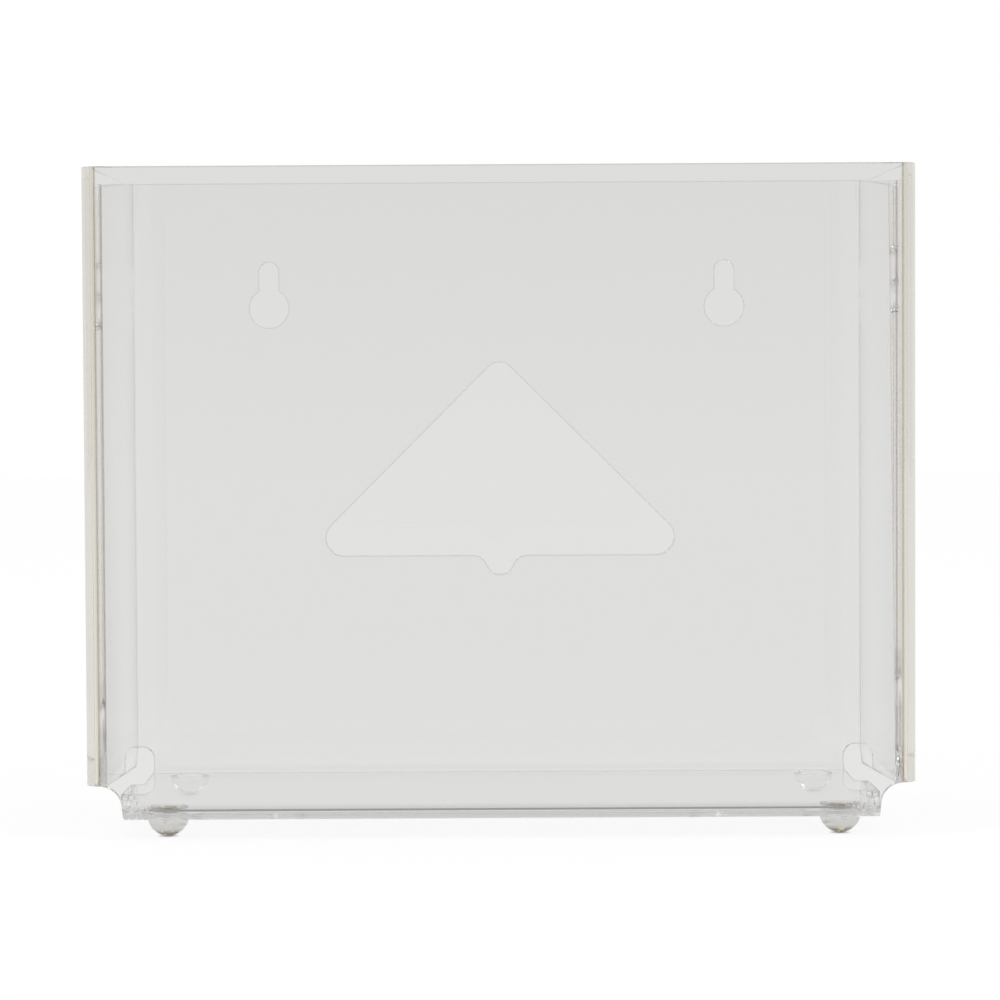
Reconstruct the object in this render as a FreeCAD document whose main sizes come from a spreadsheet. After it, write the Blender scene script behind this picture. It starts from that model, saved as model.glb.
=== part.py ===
import FreeCAD, Part
import math
import os

import Sketcher

# Clear acrylic wipe dispenser, in millimetres.
# One sheet is cut as a flat blank, bent up at the floor into a front and a back panel, and each
# panel is bent round at its sides. The front panel's side flaps lie outside, the back panel's
# flaps lie inside them, and the pairs are cemented into double side walls. The front panel has a
# three-cornered opening for the hand, the back panel two keyholes, and four clear stick-on domes
# carry the floor. Front is -Y, up is +Z, and the origin is under the middle of the feet.

# Driving dimensions: name, value
DIMENSIONS = [
    ("width", 254.0),
    ("body_height", 200.0),
    ("depth", 101.6),
    ("sheet", 3.0),
    ("side_bend_radius", 4.5),
    ("floor_bend_radius", 5.5),
    ("seam_gap", 0.1),
    # The blank is notched at each of the four places where a floor bend meets a side bend
    ("notch_side_margin", 11.0),
    ("notch_height", 11.0),
    ("notch_radius", 7.0),
    ("rear_notch_radius", 4.0),
    ("notch_trim", 1.5),
    # Between its notches the floor widens until it nearly meets the inside flaps
    ("floor_wing_front", 9.0),
    ("floor_wing_rear", 15.0),
    ("floor_wing_gap", 0.1),
    ("floor_wing_root_radius", 3.5),
    # Inside flaps: narrower towards the front, with a heel beside the rear notch, and the right
    # one is cut on a slant
    ("flap_front_clearance", 0.3),
    ("flap_top_fall", 5.5),
    ("flap_foot_fall", 0.5),
    ("flap_heel_reach", 8.0),
    ("flap_heel_drop", 6.0),
    ("flap_heel_radius", 3.0),
    ("flap_foot_radius", 0.8),
    ("left_flap_slant", 0.4),
    ("left_flap_corner_radius", 3.5),
    ("right_flap_slant", 16.0),
    ("right_flap_corner_radius", 0.8),
    # Hand opening in the front panel
    ("opening_base_height", 81.2),
    ("opening_half_base", 60.6),
    ("opening_rise", 60.6),
    ("opening_base_radius", 5.4),
    ("opening_apex_radius", 4.6),
    ("thumb_notch_depth", 5.8),
    ("thumb_notch_half_mouth", 5.6),
    ("thumb_notch_half_foot", 2.4),
    ("thumb_notch_mouth_radius", 4.5),
    ("thumb_notch_foot_radius", 3.5),
    # Keyholes in the back panel, slot above the round part
    ("keyhole_spacing", 152.4),
    ("keyhole_height", 158.2),
    ("keyhole_round_diameter", 13.0),
    ("keyhole_slot_width", 6.4),
    ("keyhole_slot_top", 15.4),
    # Stick-on feet
    ("foot_height", 5.9),
    ("foot_diameter", 12.7),
    ("foot_wall", 0.4),
    ("foot_flat_diameter", 1.6),
    ("foot_side_inset", 23.1),
    ("foot_end_inset", 12.6),
    ("feet_shift", 0.9),
]

# Places that several pieces share, as formulas of the sheet
HALF_WIDTH = "dims.width / 2"
HALF_DEPTH = "dims.depth / 2"
FLOOR = "dims.foot_height"
TOP = "dims.foot_height + dims.body_height"
INNER_HALF_WIDTH = f"{HALF_WIDTH} - dims.sheet - dims.seam_gap"
PANEL_FOOT = f"{FLOOR} + dims.floor_bend_radius"
NOTCH_TOP = f"{FLOOR} + dims.notch_height"
NOTCH_EDGE = f"{HALF_WIDTH} - dims.notch_side_margin"


def make_sheet(doc):
    """Spreadsheet that holds the driving dimensions, one alias a row."""
    sheet = doc.addObject("Spreadsheet::Sheet", "dims")
    for row, (alias, value) in enumerate(DIMENSIONS, start=1):
        sheet.set(f"A{row}", alias)
        sheet.set(f"B{row}", str(value))
        sheet.setAlias(f"B{row}", alias)
    doc.recompute()


def make_body(doc, label):
    """Empty part body with a name of its own."""
    body = doc.addObject("PartDesign::Body", label)
    body.Label = label
    return body


def make_sketch(body, name, plane, offset=None):
    """Sketch on one of the body's own origin planes, moved along the plane's normal."""
    sketch = body.newObject("Sketcher::SketchObject", name)
    planes = {feature.Role: feature for feature in body.Origin.OriginFeatures}
    sketch.AttachmentSupport = [(planes[plane], "")]
    sketch.MapMode = "FlatFace"
    if offset:
        sketch.setExpression(".AttachmentOffset.Base.z", offset)
    return sketch


def number(sketch, formula):
    """Present value of a formula of the sheet."""
    return float(sketch.evalExpression(formula))


def set_size(sketch, constraint, formula):
    """Add a measured constraint and bind it to a formula of the sheet."""
    index = sketch.addConstraint(constraint)
    sketch.setExpression(f"Constraints[{index}]", formula)


def place_point(sketch, x_formula, y_formula):
    """Construction point held at a place given by two formulas."""
    x = number(sketch, x_formula)
    y = number(sketch, y_formula)
    point = sketch.addGeometry(Part.Point(FreeCAD.Vector(x, y, 0)), True)
    set_size(sketch, Sketcher.Constraint("DistanceX", -1, 1, point, 1, x), x_formula)
    set_size(sketch, Sketcher.Constraint("DistanceY", -1, 1, point, 1, y), y_formula)
    return point, FreeCAD.Vector(x, y, 0)


def add_arc(sketch, centre, first, last):
    """Arc under half a turn, stored anticlockwise: its number and which end is the first point."""
    turn = FreeCAD.Vector(0, 0, 1)
    radius = (first - centre).Length
    start = math.atan2(first.y - centre.y, first.x - centre.x)
    sweep = (math.atan2(last.y - centre.y, last.x - centre.x) - start) % (2 * math.pi)
    first_end = 1
    if sweep > math.pi:
        start = start + sweep
        sweep = 2 * math.pi - sweep
        first_end = 2
    circle = Part.Circle(centre, turn, radius)
    return sketch.addGeometry(Part.ArcOfCircle(circle, start, start + sweep), False), first_end


def round_ends(before, corner, after, radius):
    """Arc centre and tangent points of a rounded corner between two straight runs."""
    back = (before - corner).normalize()
    ahead = (after - corner).normalize()
    half_angle = back.getAngle(ahead) / 2
    reach = radius / math.tan(half_angle)
    centre = corner + (back + ahead).normalize() * (radius / math.sin(half_angle))
    return centre, corner + back * reach, corner + ahead * reach


def draw_outline(sketch, corners):
    """Closed outline through corners given as (x, y, radius) formulas, radius None when sharp."""
    placed = [place_point(sketch, x, y) for x, y, _ in corners]
    count = len(corners)
    starts = []
    ends = []
    arcs = {}
    for index, (_, corner) in enumerate(placed):
        radius_formula = corners[index][2]
        if radius_formula is None:
            ends.append(corner)
            starts.append(corner)
            continue
        radius = number(sketch, radius_formula)
        before = placed[index - 1][1]
        after = placed[(index + 1) % count][1]
        centre, first, last = round_ends(before, corner, after, radius)
        ends.append(first)
        starts.append(last)
        arcs[index] = add_arc(sketch, centre, first, last)
    lines = []
    for index in range(count):
        line = Part.LineSegment(starts[index], ends[(index + 1) % count])
        lines.append(sketch.addGeometry(line, False))
    for index, (point, _) in enumerate(placed):
        coming = lines[index - 1]
        going = lines[index]
        if index not in arcs:
            sketch.addConstraint(Sketcher.Constraint("Coincident", coming, 2, point, 1))
            sketch.addConstraint(Sketcher.Constraint("Coincident", going, 1, point, 1))
            continue
        arc, near_end = arcs[index]
        far_end = 3 - near_end
        sketch.addConstraint(Sketcher.Constraint("PointOnObject", point, 1, coming))
        sketch.addConstraint(Sketcher.Constraint("PointOnObject", point, 1, going))
        sketch.addConstraint(Sketcher.Constraint("Tangent", coming, 2, arc, near_end))
        sketch.addConstraint(Sketcher.Constraint("Tangent", going, 1, arc, far_end))
        radius = number(sketch, corners[index][2])
        set_size(sketch, Sketcher.Constraint("Radius", arc, radius), corners[index][2])


def solid_volume(body):
    """Volume that a body has so far."""
    body.Document.recompute()
    if body.Shape.isNull():
        return 0.0
    return body.Shape.Volume


def add_feature(body, kind, sketch, name, length, reverse, midplane):
    """Pad or pocket of a sketch by a length formula."""
    feature = body.newObject(kind, name)
    feature.Profile = sketch
    feature.Reversed = reverse
    feature.Midplane = midplane
    feature.setExpression("Length", length)


def pad(body, sketch, name, length, reverse=False, midplane=False):
    """Solid drawn out from a sketch, proved to add material."""
    before = solid_volume(body)
    add_feature(body, "PartDesign::Pad", sketch, name, length, reverse, midplane)
    if solid_volume(body) <= before or not body.Shape.isValid():
        raise RuntimeError(f"{name} adds nothing, or leaves a faulty solid")


def pocket(body, sketch, name, length, reverse=False, midplane=False):
    """Cut made from a sketch, proved to remove material."""
    before = solid_volume(body)
    add_feature(body, "PartDesign::Pocket", sketch, name, length, reverse, midplane)
    if solid_volume(body) >= before or not body.Shape.isValid():
        raise RuntimeError(f"{name} removes nothing, or leaves a faulty solid")


def draw_bend(sketch, x_formula, y_formula, outer_radius, x_side, y_side):
    """Quarter ring of the sheet's thickness round a centre, in the quadrant of two signs."""
    point, centre = place_point(sketch, x_formula, y_formula)
    inner_radius = f"{outer_radius} - dims.sheet"
    across = FreeCAD.Vector(x_side, 0, 0)
    along = FreeCAD.Vector(0, y_side, 0)
    arcs = []
    for radius_formula in (outer_radius, inner_radius):
        radius = number(sketch, radius_formula)
        ends = (centre + across * radius, centre + along * radius)
        arc, x_end = add_arc(sketch, centre, *ends)
        sketch.addConstraint(Sketcher.Constraint("Coincident", arc, 3, point, 1))
        sketch.addConstraint(Sketcher.Constraint("Horizontal", arc, x_end, point, 1))
        sketch.addConstraint(Sketcher.Constraint("Vertical", arc, 3 - x_end, point, 1))
        set_size(sketch, Sketcher.Constraint("Radius", arc, radius), radius_formula)
        arcs.append((arc, x_end, ends))
    outer, inner = arcs
    for place in (0, 1):
        line = sketch.addGeometry(Part.LineSegment(outer[2][place], inner[2][place]), False)
        for line_end, (arc, x_end, _) in ((1, outer), (2, inner)):
            arc_end = (x_end, 3 - x_end)[place]
            sketch.addConstraint(Sketcher.Constraint("Coincident", line, line_end, arc, arc_end))


def draw_plate(sketch, low_x, low_y, high_x, high_y):
    """Rectangle between two corners given as formulas."""
    draw_outline(sketch, [
        (low_x, low_y, None),
        (high_x, low_y, None),
        (high_x, high_y, None),
        (low_x, high_y, None),
    ])


def add_floor(body):
    """Floor plate and its two bends, drawn as a section and left wide for the notches to trim."""
    untrimmed_width = "dims.width - 2 * dims.notch_side_margin + 2 * dims.notch_trim"
    bend_line = f"{HALF_DEPTH} - dims.floor_bend_radius"
    plate = make_sketch(body, "floor_section", "YZ_Plane")
    draw_plate(plate, f"-({bend_line})", FLOOR, bend_line, f"{FLOOR} + dims.sheet")
    pad(body, plate, "floor", untrimmed_width, midplane=True)
    bends = make_sketch(body, "floor_bend_section", "YZ_Plane")
    draw_bend(bends, f"-({bend_line})", PANEL_FOOT, "dims.floor_bend_radius", -1, -1)
    draw_bend(bends, bend_line, PANEL_FOOT, "dims.floor_bend_radius", 1, -1)
    pad(body, bends, "floor_bends", untrimmed_width, midplane=True)


def add_panel(body, end, half_width, front_sign):
    """Upright panel with a bend at each side, drawn in plan: front_sign is -1 at the front."""
    face = f"{front_sign} * {HALF_DEPTH}"
    inner_face = f"{front_sign} * ({HALF_DEPTH} - dims.sheet)"
    side_bend_line = f"{half_width} - dims.side_bend_radius"
    end_bend_line = f"{front_sign} * ({HALF_DEPTH} - dims.side_bend_radius)"
    low_y, high_y = (face, inner_face) if front_sign < 0 else (inner_face, face)
    height = "dims.body_height - dims.floor_bend_radius"
    plate = make_sketch(body, f"{end}_panel_section", "XY_Plane", PANEL_FOOT)
    draw_plate(plate, f"-({side_bend_line})", low_y, side_bend_line, high_y)
    pad(body, plate, f"{end}_panel", height)
    bends = make_sketch(body, f"{end}_bend_section", "XY_Plane", PANEL_FOOT)
    draw_bend(bends, f"-({side_bend_line})", end_bend_line, "dims.side_bend_radius", -1, front_sign)
    draw_bend(bends, side_bend_line, end_bend_line, "dims.side_bend_radius", 1, front_sign)
    pad(body, bends, f"{end}_side_bends", height)


def add_outside_flaps(body):
    """Side flaps of the front panel, running back level with the back panel's outer face."""
    sketch = make_sketch(body, "outside_flap_section", "XY_Plane", PANEL_FOOT)
    inner_side = f"{HALF_WIDTH} - dims.sheet"
    bend_line = f"dims.side_bend_radius - {HALF_DEPTH}"
    draw_plate(sketch, f"-{HALF_WIDTH}", bend_line, f"-({inner_side})", HALF_DEPTH)
    draw_plate(sketch, inner_side, bend_line, HALF_WIDTH, HALF_DEPTH)
    pad(body, sketch, "outside_flaps", "dims.body_height - dims.floor_bend_radius")


def add_inside_flap(body, side, plane_offset, reverse):
    """Side flap of the back panel: it narrows forwards and its front edge may be slanted."""
    sketch = make_sketch(body, f"{side}_flap_outline", "YZ_Plane", plane_offset)
    bend_line = f"{HALF_DEPTH} - dims.side_bend_radius"
    front = f"dims.side_bend_radius + dims.flap_front_clearance - {HALF_DEPTH}"
    top_front = f"{front} + dims.{side}_flap_slant"
    heel = f"{bend_line} - dims.flap_heel_reach"
    draw_outline(sketch, [
        (bend_line, NOTCH_TOP, None),
        (heel, f"{NOTCH_TOP} - dims.flap_heel_drop", "dims.flap_heel_radius"),
        (front, f"{NOTCH_TOP} - dims.flap_foot_fall", "dims.flap_foot_radius"),
        (top_front, f"{TOP} - dims.flap_top_fall", f"dims.{side}_flap_corner_radius"),
        (bend_line, TOP, None),
    ])
    pad(body, sketch, f"{side}_inside_flap", "dims.sheet", reverse=reverse)


def cut_bend_notches(body, end, radius, reverse):
    """Round-cornered notches of the blank at one end's bends, cut outwards from the middle."""
    sketch = make_sketch(body, f"{end}_notch_outline", "XZ_Plane")
    below = "-dims.foot_height"
    beyond = f"{HALF_WIDTH} + dims.sheet"
    for sign in ("", "-"):
        draw_outline(sketch, [
            (f"{sign}({NOTCH_EDGE})", below, None),
            (f"{sign}({NOTCH_EDGE})", NOTCH_TOP, radius),
            (f"{sign}({beyond})", NOTCH_TOP, None),
            (f"{sign}({beyond})", below, None),
        ])
    pocket(body, sketch, f"{end}_bend_notches", "dims.depth", reverse=reverse)


def add_floor_wings(body):
    """Widen the floor between its notches, with hollow corners where the notches end."""
    wing_edge = f"{INNER_HALF_WIDTH} - dims.sheet - dims.floor_wing_gap"
    front_end = "-(dims.floor_wing_front + dims.floor_wing_root_radius)"
    rear_end = "dims.floor_wing_rear + dims.floor_wing_root_radius"
    plates = make_sketch(body, "floor_wing_outline", "XY_Plane", FLOOR)
    for sign in ("", "-"):
        draw_outline(plates, [
            (f"{sign}({NOTCH_EDGE})", front_end, None),
            (f"{sign}({wing_edge})", front_end, None),
            (f"{sign}({wing_edge})", rear_end, None),
            (f"{sign}({NOTCH_EDGE})", rear_end, None),
        ])
    pad(body, plates, "floor_wings", "dims.sheet")
    cuts = make_sketch(body, "floor_wing_cut_outline", "XY_Plane", FLOOR)
    beyond = f"{HALF_WIDTH} + dims.sheet"
    for sign in ("", "-"):
        for start, end in (("-dims.floor_wing_front", f"-{HALF_DEPTH}"), ("dims.floor_wing_rear", HALF_DEPTH)):
            draw_outline(cuts, [
                (f"{sign}({NOTCH_EDGE})", end, None),
                (f"{sign}({NOTCH_EDGE})", start, "dims.floor_wing_root_radius"),
                (f"{sign}({beyond})", start, None),
                (f"{sign}({beyond})", end, None),
            ])
    pocket(body, cuts, "floor_wing_cuts", "dims.sheet", reverse=True)


def cut_hand_opening(body):
    """Three-cornered opening with a thumb notch in the middle of its lower edge."""
    sketch = make_sketch(body, "hand_opening_outline", "XZ_Plane", HALF_DEPTH)
    base = f"{FLOOR} + dims.opening_base_height"
    foot = f"{base} - dims.thumb_notch_depth"
    draw_outline(sketch, [
        ("-dims.opening_half_base", base, "dims.opening_base_radius"),
        ("-dims.thumb_notch_half_mouth", base, "dims.thumb_notch_mouth_radius"),
        ("-dims.thumb_notch_half_foot", foot, "dims.thumb_notch_foot_radius"),
        ("dims.thumb_notch_half_foot", foot, "dims.thumb_notch_foot_radius"),
        ("dims.thumb_notch_half_mouth", base, "dims.thumb_notch_mouth_radius"),
        ("dims.opening_half_base", base, "dims.opening_base_radius"),
        ("0 * dims.width", f"{base} + dims.opening_rise", "dims.opening_apex_radius"),
    ])
    pocket(body, sketch, "hand_opening", "dims.sheet")


def draw_keyhole(sketch, x_formula):
    """Keyhole outline: a slot with a round top that runs into a larger round part below."""
    centre_height = f"{FLOOR} + dims.keyhole_height"
    slot_centre = f"{centre_height} + dims.keyhole_slot_top - dims.keyhole_slot_width / 2"
    round_point, centre = place_point(sketch, x_formula, centre_height)
    slot_point, slot = place_point(sketch, x_formula, slot_centre)
    half_slot = number(sketch, "dims.keyhole_slot_width / 2")
    radius = number(sketch, "dims.keyhole_round_diameter / 2")
    rise = math.sqrt(radius ** 2 - half_slot ** 2)
    up = FreeCAD.Vector(0, 1, 0)
    across = FreeCAD.Vector(half_slot, 0, 0)
    right_joint = centre + up * rise + across
    left_joint = centre + up * rise - across
    turn = FreeCAD.Vector(0, 0, 1)
    lean = math.atan2(rise, half_slot)
    round_part = Part.ArcOfCircle(Part.Circle(centre, turn, radius), math.pi - lean, 2 * math.pi + lean)
    big = sketch.addGeometry(round_part, False)
    slot_end = Part.ArcOfCircle(Part.Circle(slot, turn, half_slot), 0, math.pi)
    small = sketch.addGeometry(slot_end, False)
    right = sketch.addGeometry(Part.LineSegment(right_joint, slot + across), False)
    left = sketch.addGeometry(Part.LineSegment(slot - across, left_joint), False)
    sketch.addConstraint(Sketcher.Constraint("Coincident", big, 3, round_point, 1))
    sketch.addConstraint(Sketcher.Constraint("Coincident", small, 3, slot_point, 1))
    sketch.addConstraint(Sketcher.Constraint("Tangent", right, 2, small, 1))
    sketch.addConstraint(Sketcher.Constraint("Tangent", left, 1, small, 2))
    sketch.addConstraint(Sketcher.Constraint("Coincident", right, 1, big, 2))
    sketch.addConstraint(Sketcher.Constraint("Coincident", left, 2, big, 1))
    sketch.addConstraint(Sketcher.Constraint("Vertical", right))
    set_size(sketch, Sketcher.Constraint("Radius", small, half_slot), "dims.keyhole_slot_width / 2")
    set_size(sketch, Sketcher.Constraint("Radius", big, radius), "dims.keyhole_round_diameter / 2")


def cut_keyholes(body):
    """Two keyholes for wall screws, cut through the back panel."""
    sketch = make_sketch(body, "keyhole_outline", "XZ_Plane", f"dims.sheet - {HALF_DEPTH}")
    draw_keyhole(sketch, "-dims.keyhole_spacing / 2")
    draw_keyhole(sketch, "dims.keyhole_spacing / 2")
    pocket(body, sketch, "keyholes", "dims.sheet")


def make_dispenser_body(doc):
    """The folded acrylic sheet."""
    body = make_body(doc, "dispenser_body")
    add_floor(body)
    add_panel(body, "front", HALF_WIDTH, -1)
    add_outside_flaps(body)
    add_panel(body, "back", INNER_HALF_WIDTH, 1)
    cut_bend_notches(body, "front", "dims.notch_radius", True)
    cut_bend_notches(body, "rear", "dims.rear_notch_radius", False)
    add_inside_flap(body, "left", f"-({INNER_HALF_WIDTH})", False)
    add_inside_flap(body, "right", INNER_HALF_WIDTH, True)
    add_floor_wings(body)
    cut_hand_opening(body)
    cut_keyholes(body)
    return body


def make_foot(doc, label, x_formula, y_formula):
    """Clear stick-on dome: flat top against the floor, rounded below, turned about its axis."""
    body = make_body(doc, label)
    sketch = make_sketch(body, f"{label}_section", "XZ_Plane")
    radius_formula = "dims.foot_diameter / 2"
    radius = number(sketch, radius_formula)
    height = number(sketch, "dims.foot_height")
    wall = number(sketch, "dims.foot_wall")
    flat_formula = "dims.foot_flat_diameter / 2"
    flat = number(sketch, flat_formula)
    origin_point = FreeCAD.Vector(0, 0, 0)
    top_middle = FreeCAD.Vector(0, height, 0)
    top_rim = FreeCAD.Vector(radius, height, 0)
    wall_end = FreeCAD.Vector(radius, height - wall, 0)
    flat_rim = FreeCAD.Vector(flat, 0, 0)
    # The dome is part of a ball, so its circle's centre lies on the foot's axis
    rise = height - wall
    centre = FreeCAD.Vector(0, (radius ** 2 + rise ** 2 - flat ** 2) / (2 * rise), 0)
    axis = sketch.addGeometry(Part.LineSegment(origin_point, top_middle), False)
    top = sketch.addGeometry(Part.LineSegment(top_middle, top_rim), False)
    side = sketch.addGeometry(Part.LineSegment(top_rim, wall_end), False)
    dome, upper = add_arc(sketch, centre, wall_end, flat_rim)
    base = sketch.addGeometry(Part.LineSegment(flat_rim, origin_point), False)
    sketch.addConstraint(Sketcher.Constraint("Coincident", axis, 1, -1, 1))
    sketch.addConstraint(Sketcher.Constraint("Vertical", axis))
    sketch.addConstraint(Sketcher.Constraint("Coincident", axis, 2, top, 1))
    sketch.addConstraint(Sketcher.Constraint("Horizontal", top))
    sketch.addConstraint(Sketcher.Constraint("Coincident", top, 2, side, 1))
    sketch.addConstraint(Sketcher.Constraint("Vertical", side))
    sketch.addConstraint(Sketcher.Constraint("Coincident", side, 2, dome, upper))
    sketch.addConstraint(Sketcher.Constraint("PointOnObject", dome, 3, -2))
    sketch.addConstraint(Sketcher.Constraint("Coincident", dome, 3 - upper, base, 1))
    sketch.addConstraint(Sketcher.Constraint("Horizontal", base))
    sketch.addConstraint(Sketcher.Constraint("Coincident", base, 2, axis, 1))
    set_size(sketch, Sketcher.Constraint("DistanceY", axis, 1, axis, 2, height), "dims.foot_height")
    set_size(sketch, Sketcher.Constraint("DistanceX", top, 1, top, 2, radius), radius_formula)
    set_size(sketch, Sketcher.Constraint("DistanceY", side, 2, side, 1, wall), "dims.foot_wall")
    set_size(sketch, Sketcher.Constraint("DistanceX", base, 2, base, 1, flat), flat_formula)
    turned = body.newObject("PartDesign::Revolution", f"{label}_dome")
    turned.Profile = sketch
    turned.ReferenceAxis = (sketch, ["V_Axis"])
    turned.Angle = 360
    body.setExpression(".Placement.Base.x", x_formula)
    body.setExpression(".Placement.Base.y", y_formula)
    return body


def make_feet(doc):
    """Four feet under the floor's corners, set by hand a little off the middle."""
    feet = []
    for end, end_sign in (("front", "-"), ("rear", "")):
        for side, side_sign in (("left", "-"), ("right", "")):
            x_formula = f"{side_sign}({HALF_WIDTH} - dims.foot_side_inset) + dims.feet_shift"
            y_formula = f"{end_sign}({HALF_DEPTH} - dims.foot_end_inset)"
            feet.append(make_foot(doc, f"foot_{end}_{side}", x_formula, y_formula))
    return feet


def check_model(doc, bodies):
    """Stop before anything is written if a feature failed or a solid isn't whole."""
    for item in doc.Objects:
        if "Invalid" in item.State or "Error" in item.State:
            raise RuntimeError(f"{item.Label} didn't compute")
    for body in bodies:
        if body.Shape.isNull() or not body.Shape.isValid():
            raise RuntimeError(f"{body.Label} has no valid solid")
        if len(body.Shape.Solids) != 1:
            raise RuntimeError(f"{body.Label} isn't one solid")


def write_steps(bodies):
    """One STEP file for each piece."""
    os.makedirs("parts", exist_ok=True)
    for body in bodies:
        body.Shape.exportStep(f"parts/{body.Label}.step")
        box = body.Shape.BoundBox
        print(body.Label, "volume", round(body.Shape.Volume, 1), "box",
              round(box.XLength, 2), round(box.YLength, 2), round(box.ZLength, 2))


doc = FreeCAD.newDocument("wipe_dispenser")
make_sheet(doc)
bodies = [make_dispenser_body(doc)]
bodies += make_feet(doc)
doc.recompute()
check_model(doc, bodies)
write_steps(bodies)
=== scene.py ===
import math

import bmesh
import bpy
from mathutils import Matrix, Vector
from mathutils.geometry import delaunay_2d_cdt


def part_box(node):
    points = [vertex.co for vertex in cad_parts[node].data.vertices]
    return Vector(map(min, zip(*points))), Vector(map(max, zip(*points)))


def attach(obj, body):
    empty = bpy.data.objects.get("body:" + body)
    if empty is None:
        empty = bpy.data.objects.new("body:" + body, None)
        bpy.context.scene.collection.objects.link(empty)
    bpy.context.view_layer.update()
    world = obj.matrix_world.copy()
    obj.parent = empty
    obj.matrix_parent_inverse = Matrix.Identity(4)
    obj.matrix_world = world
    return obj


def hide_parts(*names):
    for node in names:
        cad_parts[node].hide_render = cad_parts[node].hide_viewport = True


bl_info = {
    "name": "Clear wipe dispenser",
    "version": (1, 0, 0),
    "blender": (4, 5, 0),
    "location": "3D View > Sidebar > Dispenser",
    "description": "Folds a clear acrylic wipe dispenser from its blank and sets its feet and stage",
    "category": "Object",
}

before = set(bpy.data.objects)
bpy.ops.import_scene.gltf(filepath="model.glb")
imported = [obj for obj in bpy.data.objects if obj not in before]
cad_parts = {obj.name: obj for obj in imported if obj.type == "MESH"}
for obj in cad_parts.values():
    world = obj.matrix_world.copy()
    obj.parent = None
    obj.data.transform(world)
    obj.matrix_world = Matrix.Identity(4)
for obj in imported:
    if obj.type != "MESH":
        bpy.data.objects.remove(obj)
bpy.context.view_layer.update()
SHEET_LOW, SHEET_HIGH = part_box("dispenser_body")
FOOT_NODES = ["foot_front_left", "foot_front_right", "foot_rear_left", "foot_rear_right"]
FOOT_LOW, FOOT_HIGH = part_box(FOOT_NODES[0])

# How finely curves are divided
OUTLINE_STEP = math.radians(7.5)
EDGE_STEPS = 3
DOME_STEPS = 24
# Corners that turn by less than this stay as they are
STRAIGHT = 1e-4
# Lines of a bend run this far past the sheet's edge when they are ruled on the blank
RULE_OVERRUN = 0.001
# Points of the blank closer together than this are one point
SAME_POINT = 1e-7
# Hollow and rounded corners of the thumb notch
THUMB_FOOT_ROUND = 0.0035
THUMB_MOUTH_ROUND = 0.0045
# A foot's top face is softened by this much
DOME_RIM = 0.0001
# Name of the mesh value that is 1 on the sheet's cut faces and 0.5 on their softened edges
CUT_FACE = "cut_face"
# The ribs fade out over these distances from the box's side, from its front and from the ground
RIBS_FROM_SIDE = (0.0165, 0.0225)
RIBS_FROM_FRONT = (0.003, 0.008)
RIBS_UP = (0.009, 0.0125)
RIB_HEIGHT = 0.00008
# How far back the front panel's painted tints and painted shade lines reach, and the front floor
# bend's painted shade
FRONT_PAINT = (0.004, 0.0055)
FLOOR_BEND_SHADE = (0.005, 0.0065)
# Half width of a thin painted shade line, which fades out from the first number to the second
PAINTED_LINE = (0.0001, 0.0003)
# The thin painted shade line at an inside flap's front end starts this far above the floor
FLAP_LINE_FOOT = 0.0216
# Height over which the painted shade and glints on the feet's undersides fade out
FOOT_PAINT_RISE = (0.0012, 0.0028)
# The stage's floor, just under the feet
FLOOR_HALF = 3.0
FLOOR_LEVEL = -0.0001
FLOOR_PAINT = (0.86, 0.86, 0.86, 1)
# The line of shade under the front bend fades out over these distances from its middle line
# and from the middle of the box
SHADE_DEPTH = (0.005, 0.0085)
SHADE_REACH = (0.108, 0.116)
LAMP_PLACES = {"lamp_left": (-0.9, -0.7, 1.3), "lamp_right": (0.9, -0.7, 1.3)}
LAMP_TARGET = (0, 0, 0.1)
# Light runs along inside the flaps and is turned back from their faces many times
LIGHT_BOUNCES = 64


def length(name, description, default):
    """Property for a length in metres."""
    return bpy.props.FloatProperty(
        name=name, description=description, default=default, unit="LENGTH", precision=4)


def share(name, description, default):
    """Property for a share from 0 to 1."""
    return bpy.props.FloatProperty(
        name=name, description=description, default=default, min=0, max=1, subtype="FACTOR")


def colour(name, description, default):
    """Property for a linear colour."""
    return bpy.props.FloatVectorProperty(
        name=name, description=description, default=default, size=3, min=0, max=1, subtype="COLOR")


def index_of_refraction(name, description, default):
    """Property for an index of refraction."""
    return bpy.props.FloatProperty(name=name, description=description, default=default, min=1, max=2)


class SheetSize(bpy.types.PropertyGroup):
    """Sizes of the folded sheet."""

    width: length("Width", "Outside width of the box", SHEET_HIGH[0] - SHEET_LOW[0])
    depth: length("Depth", "Outside depth of the box", SHEET_HIGH[1] - SHEET_LOW[1])
    floor_level: length("Floor level", "Height of the floor's lower face", SHEET_LOW[2])
    top: length("Top", "Height of the upper edges", SHEET_HIGH[2])
    thickness: length("Thickness", "Thickness of the sheet", 0.003)
    seam_gap: length("Seam gap", "Gap between an outside and an inside flap", 0.0001)
    side_bend: length("Side bend", "Outer radius of the upright bends", 0.0045)
    floor_bend: length("Floor bend", "Outer radius of the bends along the floor", 0.0055)
    edge: length("Edge", "Radius of the polished edges", 0.0003)
    corner: length("Corner", "Radius of the blank's outer corners", 0.0008)
    flap_clearance: length("Flap clearance", "From the front bend to an inside flap", 0.0003)
    flap_fall: length("Flap fall", "How far an inside flap's top edge falls to the front", 0.0055)
    foot_fall: length(
        "Foot fall", "How far an inside flap's front end reaches below the notches", 0.0005)
    heel_reach: length("Heel reach", "From an inside flap's bend to its heel", 0.008)
    heel_drop: length("Heel drop", "How far the heel reaches below the notches", 0.006)
    heel_radius: length("Heel radius", "Radius of the heel", 0.003)
    left_slant: length("Left slant", "How far the left inside flap leans back at its top", 0.0004)
    right_slant: length("Right slant", "How far the right inside flap leans back at its top", 0.016)
    bend_steps: bpy.props.IntProperty(
        name="Bend steps", description="Divisions of each bend", default=24, min=4, max=64)


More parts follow.
